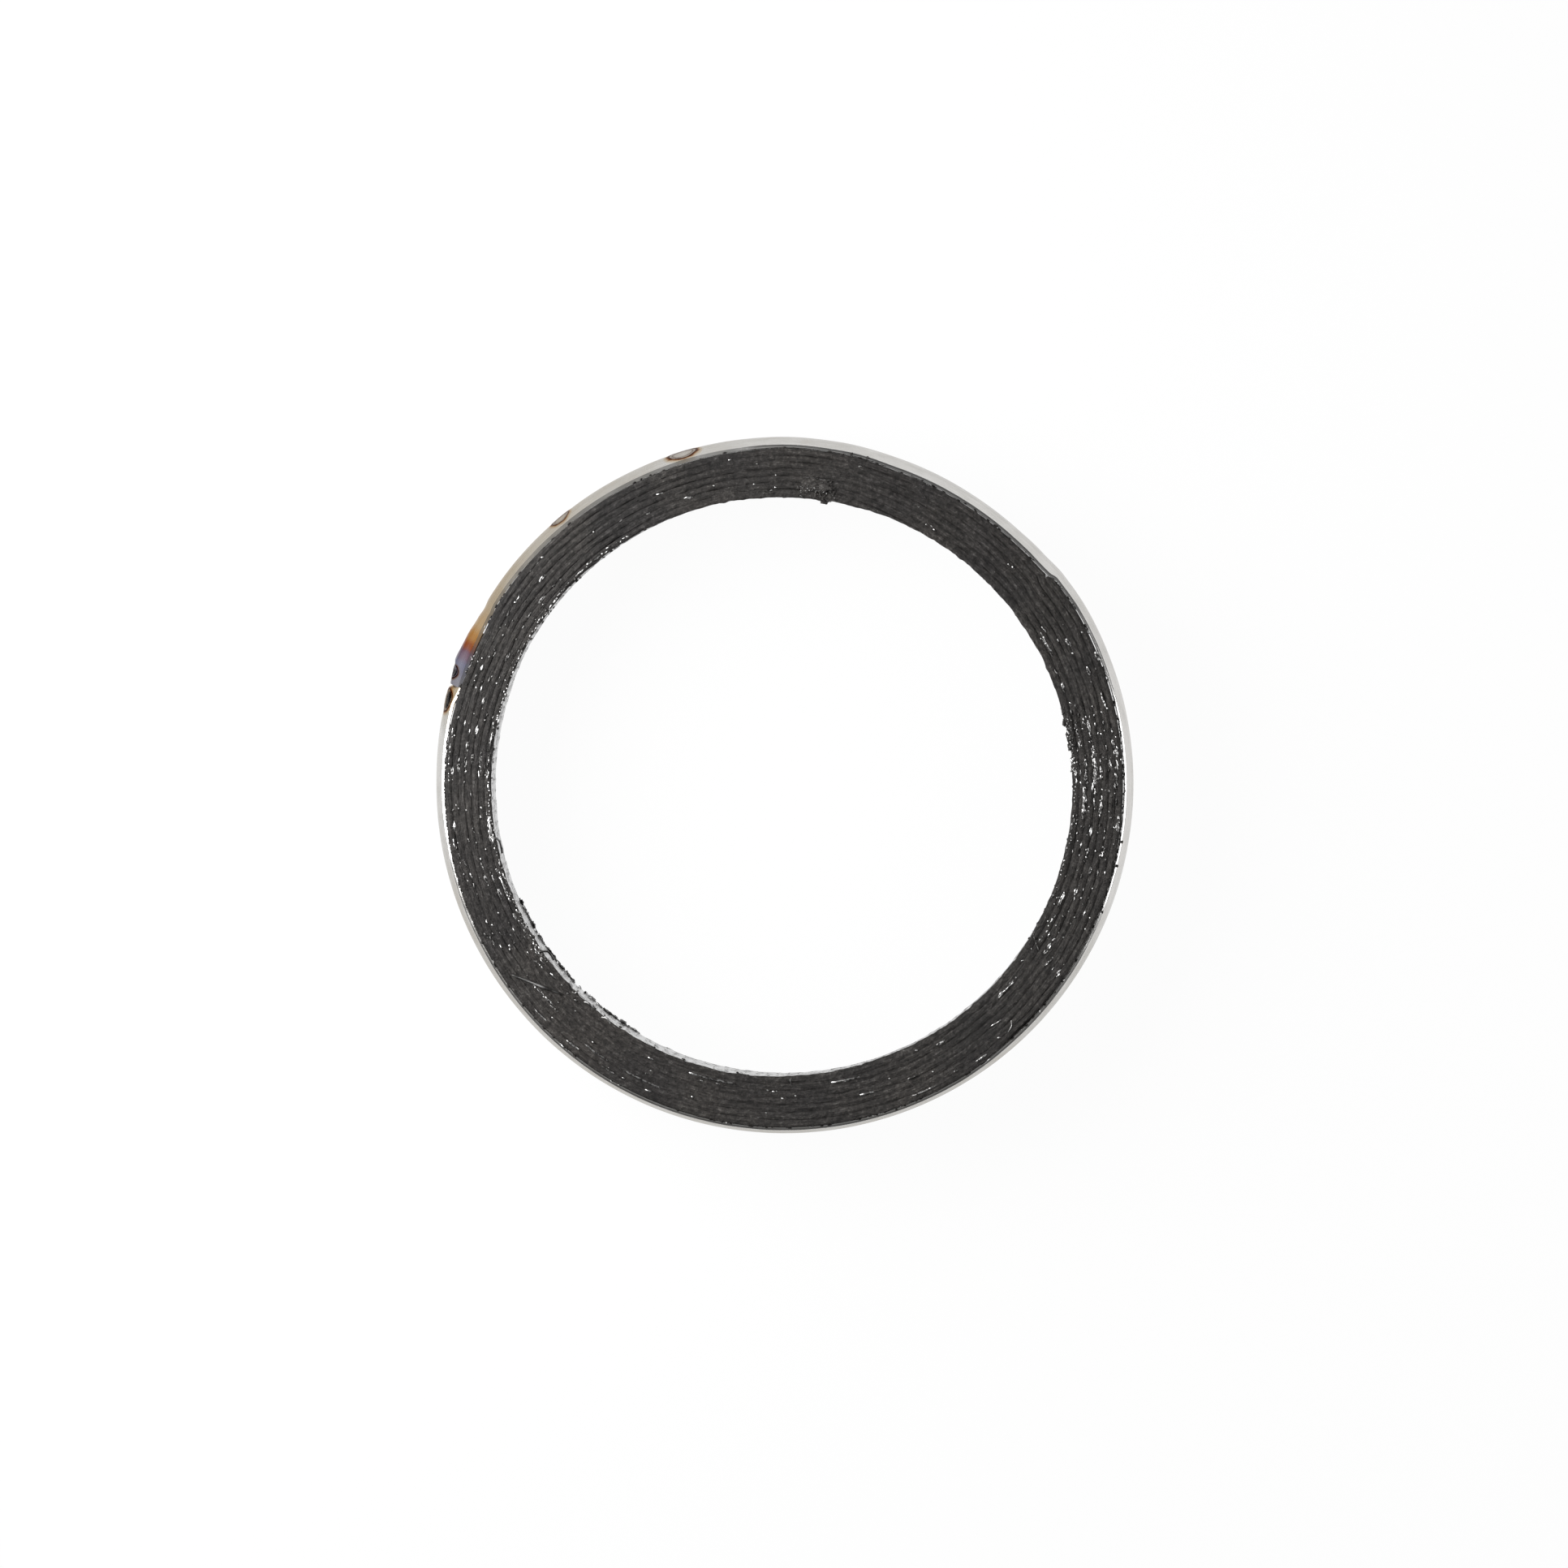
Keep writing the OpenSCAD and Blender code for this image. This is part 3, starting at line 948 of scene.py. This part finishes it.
# %% Fine bright wires
fine_ends = new_wires("fine_ends", 0.036)
BRIGHT_ENDS = [
    [(372, 326.9, 11.9), (366, 327.6, 12.03), (360, 328.4, 12.0), (355, 329.2, 11.8)],
    [(410, 312.0, 11.93), (407, 313.2, 12.01), (402, 313.8, 11.93)],
    [(421.5, 288.6, 11.55), (418, 288.9, 11.9), (414, 289.2, 11.93)],
    [(421.5, 289.7, 11.55), (418, 289.8, 11.9), (415, 290.1, 11.93)],
    [(421, 287.0, 11.55), (418, 287.2, 11.9), (416, 287.3, 11.93)],
    [(361, 270.9, 11.85), (365, 271.1, 12.03), (369, 271.2, 11.93)],
    [(358, 71.2, 11.7), (355.5, 71.6, 11.9), (358, 72.0, 11.95)],
    [(357, 70.6, 11.8), (354.5, 71.0, 11.95), (356, 71.5, 11.9)]]
for corners in BRIGHT_ENDS:
    path(fine_ends, [on_face(*c) for c in corners])
path(fine_ends, [on_face(378.4 + 0.8 * math.sin(i), 86.1 - 0.75 * i, 12.04) for i in range(7)], 3)
for _ in range(70):
    fringe_bit(fine_ends)
for _ in range(48):
    middle = on_face(rng.gauss(364.5, 4.5), rng.gauss(83.8, 1.7), RING_H + 0.14)
    size, start = rng.uniform(0.05, 0.13), rng.uniform(0, 360)
    path(fine_ends, [middle + around(size, start + 60 * k, -0.06 * abs(k - 1.0))
                     for k in range(3)], 2)
wires_done(fine_ends, "fine_wire_ends", wire_steel)

# %% [markdown]
# ## Torn graphite
# The inner end of the foil is folded over and pressed into a lump at the top of the bore,
# with a flap beside it, and crumbs of graphite cling to the torn edges and to the rim of the
# band. A ball whose points are pushed in and out by a noise makes a good crumb, and a larger
# one the lump. The size of each is given across the foil, along it, and upward.

# %% Helper for crumbs
def crumb(bm, middle, deg, size, fine, rough, seed):
    made = bmesh.ops.create_icosphere(bm, subdivisions=fine, radius=1.0)["verts"]
    for v in made:
        v.co *= 1 + rough * (grain(v.co.x * 1.6 + seed, v.co.y * 1.6, v.co.z * 1.6)
                             + 0.6 * grain(v.co.x * 4 + seed, v.co.y * 4, v.co.z * 4))
    turned = Matrix.Rotation(math.radians(deg), 3, "Z")
    bmesh.ops.scale(bm, vec=size, verts=made)
    bmesh.ops.rotate(bm, cent=(0, 0, 0), matrix=turned, verts=made)
    bmesh.ops.translate(bm, vec=middle, verts=made)


# %% Folded end of the foil
bm = bmesh.new()
crumb(bm, on_face(370.0, 83.8, 11.95), 84.0, (0.62, 1.45, 0.22), 5, 0.6, 3.0)
crumb(bm, on_face(355.5, 82.2, 11.35), 84.0, (0.42, 0.62, 0.5), 4, 0.5, 9.0)
crumb(bm, on_face(351.8, 82.1, 11.45), 75.0, (0.28, 0.42, 0.25), 3, 0.5, 14.0)
crumb(bm, on_face(355.8, 88.8, 11.7), 89.0, (0.2, 1.1, 0.2), 4, 0.9, 21.0)
for i in range(60):
    size = rng.uniform(0.05, 0.13)
    if rng.random() < 0.5:
        deg, r_px = rng.gauss(86.4, 0.6), rng.gauss(364.5, 2.0)
    else:
        deg, r_px = rng.gauss(83.2, 1.1), rng.uniform(357, 376)
    flake_size = (size, size * 1.5, size * 0.7)
    crumb(bm, on_face(r_px, deg, 12.0), rng.uniform(0, 180), flake_size, 2, 0.6, i)
finished(bm, "folded_inner_end", graphite, 60.0)

# %% [markdown]
# The first crumbs are the ones that the photo shows on the rim. The others are scattered: at
# the torn edge on the right, round the bore, in the fringe at its lower edge, and along the
# rim of the band.

# %% Crumbs
RIM_CRUMBS = [
    (338.1, 421.0, 0.13, 11.55), (346.2, 420.8, 0.14, 11.55), (350.3, 420.5, 0.14, 11.55),
    (75.8, 414.6, 0.16, 11.75), (78.6, 414.9, 0.18, 11.75), (289.0, 423.0, 0.13, 11.5)]
bm = bmesh.new()
for deg, r_px, size, z in RIM_CRUMBS:
    crumb(bm, on_face(r_px, deg, z), deg, (size * 0.7, size, size * 0.5), 2, 0.6, deg)
for i in range(40):
    deg = rng.uniform(3.0, 15.5) if i % 2 else rng.gauss(8.6, 1.5)
    size = rng.uniform(0.08, 0.22)
    middle = on_face(rng.uniform(351, 357), deg, rng.uniform(11.3, 11.85))
    crumb(bm, middle, deg, (size * 0.7, size * 1.5, size * 0.6), 2, 0.6, i)
for i in range(70):
    deg, size = rng.uniform(0, 360), rng.uniform(0.05, 0.12)
    middle = wound(rng.uniform(-0.12, 0.1), deg, rng.uniform(11.6, 11.9))
    crumb(bm, middle, deg, (size, size * 1.8, size), 1, 0.4, i)
for i in range(34):
    deg, size = fringe_deg((204, 211), (226, 238)), rng.uniform(0.05, 0.14)
    middle = wound(rng.uniform(-0.25, 0.1), deg, rng.uniform(0.16, 0.45))
    crumb(bm, middle, deg, (size * 0.8, size * 1.7, size), 2, 0.7, i)
for i in range(150):
    deg, size = rng.uniform(0, 360), rng.uniform(0.05, 0.12)
    middle = around(rim_r(deg) + rng.uniform(-0.02, 0.12), deg, rng.uniform(11.52, 11.7))
    crumb(bm, middle, deg, (size, size * 2.0, size), 1, 0.4, i)
finished(bm, "graphite_crumbs", graphite, 60.0)

# %% [markdown]
# ## Floor, light and camera
# The floor is white paper. It shows as white to the camera and in the steel, and keeps a
# faint shadow. Two soft lamps stand left and right, the left one nearer, which is why the
# wires flash at the sides of the ring and stay dull at its top and bottom. The sky is dim at
# its edge and brighter overhead.

# %% Floor
paper, shader = new_finish("white_paper")
fibre = noise_node(paper, object_spot(paper), 900.0, 2.0)
sheet = ramp(paper, fibre, [(0.3, grey(0.86)), (0.7, grey(0.9))])
link(paper, sheet, shader.inputs["Base Color"])
shader.inputs["Roughness"].default_value = 0.9
rays = add(paper, "LightPath").outputs
seen = math_node(paper, "MAXIMUM", rays["Is Camera Ray"], rays["Is Glossy Ray"])
glow = add(paper, "Emission", Color=(1, 1, 1, 1), Strength=1.0)
mixed = add(paper, "MixShader", i0=math_node(paper, "MULTIPLY", seen, 0.96),
            i1=shader.outputs[0], i2=glow.outputs[0])
out = next(n for n in paper.node_tree.nodes if n.type == "OUTPUT_MATERIAL")
link(paper, mixed.outputs[0], out.inputs["Surface"])
bm = bmesh.new()
bmesh.ops.create_grid(bm, x_segments=1, y_segments=1, size=3.0)
floor_mesh = bpy.data.meshes.new("floor")
bm.to_mesh(floor_mesh)
bm.free()
floor_mesh.materials.append(paper)
floor = bpy.data.objects.new("floor", floor_mesh)
bpy.context.scene.collection.objects.link(floor)

# %% Lamps
MIDDLE = Vector((0, 0, 0.006))


def soft_lamp(name, place, size, power):
    lamp = bpy.data.lights.new(name, "AREA")
    lamp.shape = "RECTANGLE"
    lamp.size, lamp.size_y = size
    lamp.energy = power
    holder = bpy.data.objects.new(name, lamp)
    holder.location = place
    holder.rotation_euler = (MIDDLE - Vector(place)).to_track_quat("-Z", "Y").to_euler()
    bpy.context.scene.collection.objects.link(holder)


soft_lamp("left_lamp", (-0.13, 0.05, 0.105), (0.16, 0.16), 0.70)
soft_lamp("right_lamp", (0.22, -0.02, 0.16), (0.12, 0.12), 0.17)

# %% Sky
world = bpy.data.worlds.new("studio")
bpy.context.scene.world = world
world.use_nodes = True
sky = world.node_tree.nodes["Background"]
high = part_z(world, add(world, "TexCoord").outputs["Generated"])
dome = ramp(world, high, [(0.88, grey(0.11)), (0.965, grey(0.26))])
straight = add(world, "LightPath").outputs["Is Camera Ray"]
seen = add(world, "Mix", {"data_type": "RGBA"}, i0=straight, i6=dome, i7=(1, 1, 1, 1))
link(world, seen.outputs[2], sky.inputs["Color"])

# %% [markdown]
# The camera stands far off with a long lens, as the photo's nearly flat view asks for, and
# looks down at a tilt of a few degrees, which lets a little of the bore's wall show.

# %% Camera
TILT = math.radians(2.4)
REACH = 1.8
camera = bpy.data.cameras.new("photo_camera")
camera.lens = 439.4
camera.sensor_width = 36.0
camera.clip_end = 10.0
viewer = bpy.data.objects.new("photo_camera", camera)
viewer.location = (-PX * MM, REACH * math.sin(TILT) + PX * MM,
                   MIDDLE.z + REACH * math.cos(TILT))
viewer.rotation_euler = (-TILT, 0.0, 0.0)
bpy.context.scene.collection.objects.link(viewer)
bpy.context.scene.camera = viewer
bpy.context.scene.view_settings.view_transform = "Standard"
